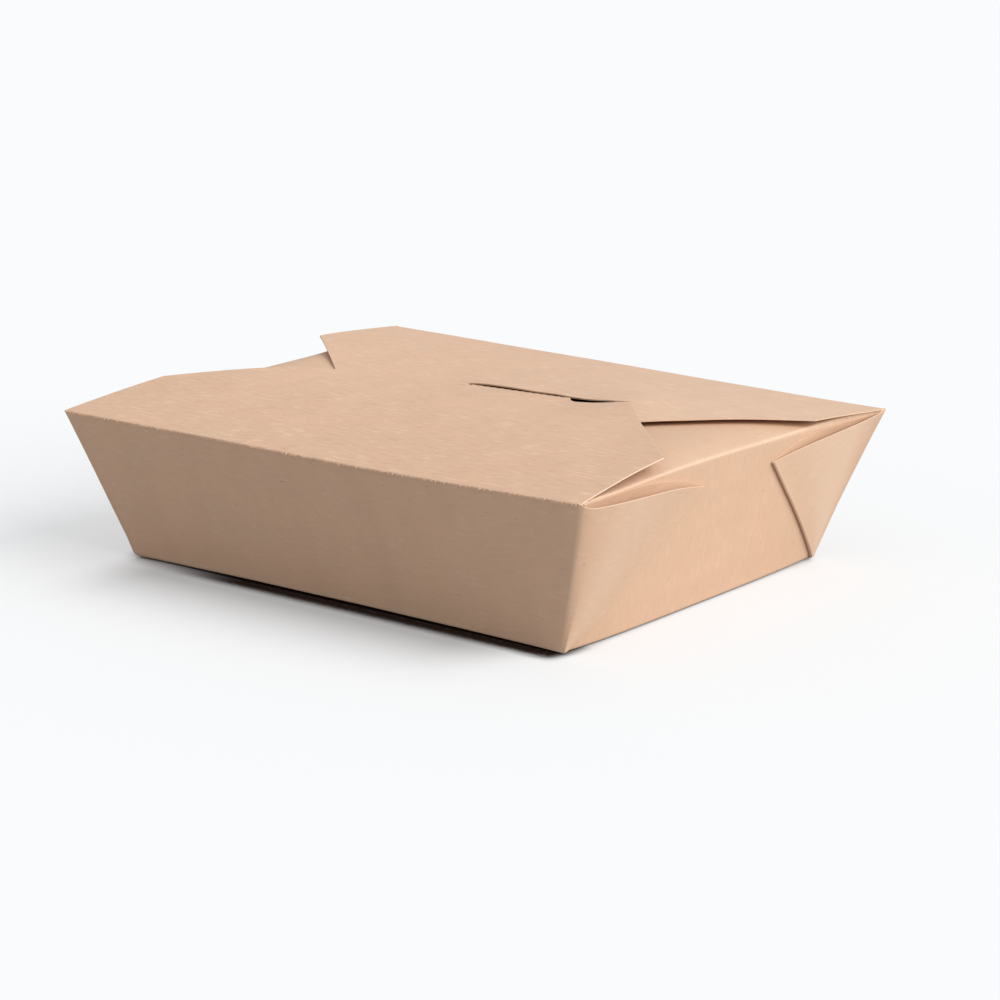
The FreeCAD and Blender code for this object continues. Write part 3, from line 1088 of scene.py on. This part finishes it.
class BOX_OT_crease(bpy.types.Operator):
    """Build the raised fibres along the front crease"""
    bl_idname = "takeaway_box.crease"
    bl_label = "Build Crease Fibres"

    def execute(self, context):
        fibres = context.scene.box_fibres
        material = board_material(context)
        points = crease_line(context.scene.box_shape)
        line = bpy.data.meshes.new("crease_line")
        line.from_pydata([tuple(p) for p in points], [(n, n + 1) for n in range(len(points) - 1)], [])
        guide = bpy.data.objects.new("crease_line", line)
        context.scene.collection.objects.link(guide)
        tree = crease_fibre_tree(material)
        grow = guide.modifiers.new("fibres", "NODES")
        grow.node_group = tree
        wanted = {"Fibres": fibres.count, "Length": fibres.length, "Width": fibres.width,
                  "Seed": fibres.seed}
        for item in tree.interface.items_tree:
            if item.in_out == "INPUT" and item.name in wanted:
                grow[item.identifier] = wanted[item.name]
        grown = guide.evaluated_get(context.evaluated_depsgraph_get())
        mesh = bpy.data.meshes.new_from_object(grown)
        if len(mesh.polygons) < fibres.count:
            raise RuntimeError("the crease has too few fibres")
        guide.modifiers.remove(grow)
        bpy.data.objects.remove(guide)
        piece = bpy.data.objects.new("crease_fibres", mesh)
        context.scene.collection.objects.link(piece)
        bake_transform(piece)
        return {"FINISHED"}


class BOX_OT_stage(bpy.types.Operator):
    """Set the floor, the light and the camera"""
    bl_idname = "takeaway_box.stage"
    bl_label = "Set Stage"

    def execute(self, context):
        stage = context.scene.box_stage
        mesh = bpy.data.meshes.new("floor")
        mesh.from_pydata([(-12, -12, 0), (12, -12, 0), (12, 12, 0), (-12, 12, 0)], [], [(0, 1, 2, 3)])
        floor = bpy.data.objects.new("floor", mesh)
        context.scene.collection.objects.link(floor)
        mesh.materials.append(floor_material(stage))
        lamp = bpy.data.lights.new("key", "SUN")
        lamp.energy = stage.key
        lamp.angle = math.radians(50)
        lamp.color = (1.0, 0.985, 0.965)
        key = bpy.data.objects.new("key", lamp)
        context.scene.collection.objects.link(key)
        turn, rise = math.radians(7), math.radians(33)
        towards = Vector((math.cos(turn) * math.cos(rise), math.sin(turn) * math.cos(rise), math.sin(rise)))
        key.rotation_euler = towards.to_track_quat("Z", "Y").to_euler()
        world = bpy.data.worlds.new("surround")
        world.use_nodes = True
        background = world.node_tree.nodes["Background"]
        background.inputs["Color"].default_value = (0.98, 0.99, 1.0, 1)
        background.inputs["Strength"].default_value = stage.sky
        context.scene.world = world
        place_camera(context)
        context.scene.view_settings.view_transform = "Standard"
        return {"FINISHED"}


def place_camera(context):
    """Camera at the photograph's place, solved from the box's corners."""
    around, above, roll = (math.radians(angle) for angle in (36.949, 14.319, 0.578))
    distance, shift_x, shift_y = 1031.35, -8.514, -19.295
    back = Vector((math.sin(around) * math.cos(above), -math.cos(around) * math.cos(above),
                   math.sin(above)))
    level = Vector((math.cos(around), math.sin(around), 0))
    steep = back.cross(level)
    right = math.cos(roll) * level + math.sin(roll) * steep
    up = math.cos(roll) * steep - math.sin(roll) * level
    place = (back * distance - right * shift_x - up * shift_y + Vector((0, 0, 0.6))) * MM
    lens = bpy.data.cameras.new("camera")
    lens.lens = 108.0
    lens.sensor_width = 36.0
    lens.clip_end = 100.0
    camera = bpy.data.objects.new("camera", lens)
    context.scene.collection.objects.link(camera)
    camera.matrix_world = Matrix((
        (right.x, up.x, back.x, place.x),
        (right.y, up.y, back.y, place.y),
        (right.z, up.z, back.z, place.z),
        (0, 0, 0, 1)))
    context.scene.camera = camera


class BOX_PT_panel(bpy.types.Panel):
    bl_label = "Takeaway Box"
    bl_idname = "BOX_PT_panel"
    bl_space_type = "VIEW_3D"
    bl_region_type = "UI"
    bl_category = "Takeaway Box"

    def draw(self, context):
        layout = self.layout
        scene = context.scene
        for group in (scene.box_shape, scene.box_fibres, scene.box_finish, scene.box_stage):
            box = layout.box()
            for name in group.bl_rna.properties.keys():
                if name not in ("rna_type", "name"):
                    box.prop(group, name)
        for operator in (BOX_OT_carton, BOX_OT_front_flap, BOX_OT_crease, BOX_OT_stage):
            layout.operator(operator.bl_idname)


CLASSES = (BoxShape, BoxFibres, BoxFinish, BoxStage, BOX_OT_carton, BOX_OT_front_flap, BOX_OT_crease,
           BOX_OT_stage, BOX_PT_panel)


def register():
    for cls in CLASSES:
        bpy.utils.register_class(cls)
    bpy.types.Scene.box_shape = bpy.props.PointerProperty(type=BoxShape)
    bpy.types.Scene.box_fibres = bpy.props.PointerProperty(type=BoxFibres)
    bpy.types.Scene.box_finish = bpy.props.PointerProperty(type=BoxFinish)
    bpy.types.Scene.box_stage = bpy.props.PointerProperty(type=BoxStage)


def unregister():
    del bpy.types.Scene.box_stage
    del bpy.types.Scene.box_finish
    del bpy.types.Scene.box_fibres
    del bpy.types.Scene.box_shape
    for cls in reversed(CLASSES):
        bpy.utils.unregister_class(cls)


def main():
    register()
    bpy.ops.takeaway_box.stage()
    bpy.ops.takeaway_box.carton()
    bpy.ops.takeaway_box.front_flap()
    bpy.ops.takeaway_box.crease()


if __name__ == "__main__":
    main()
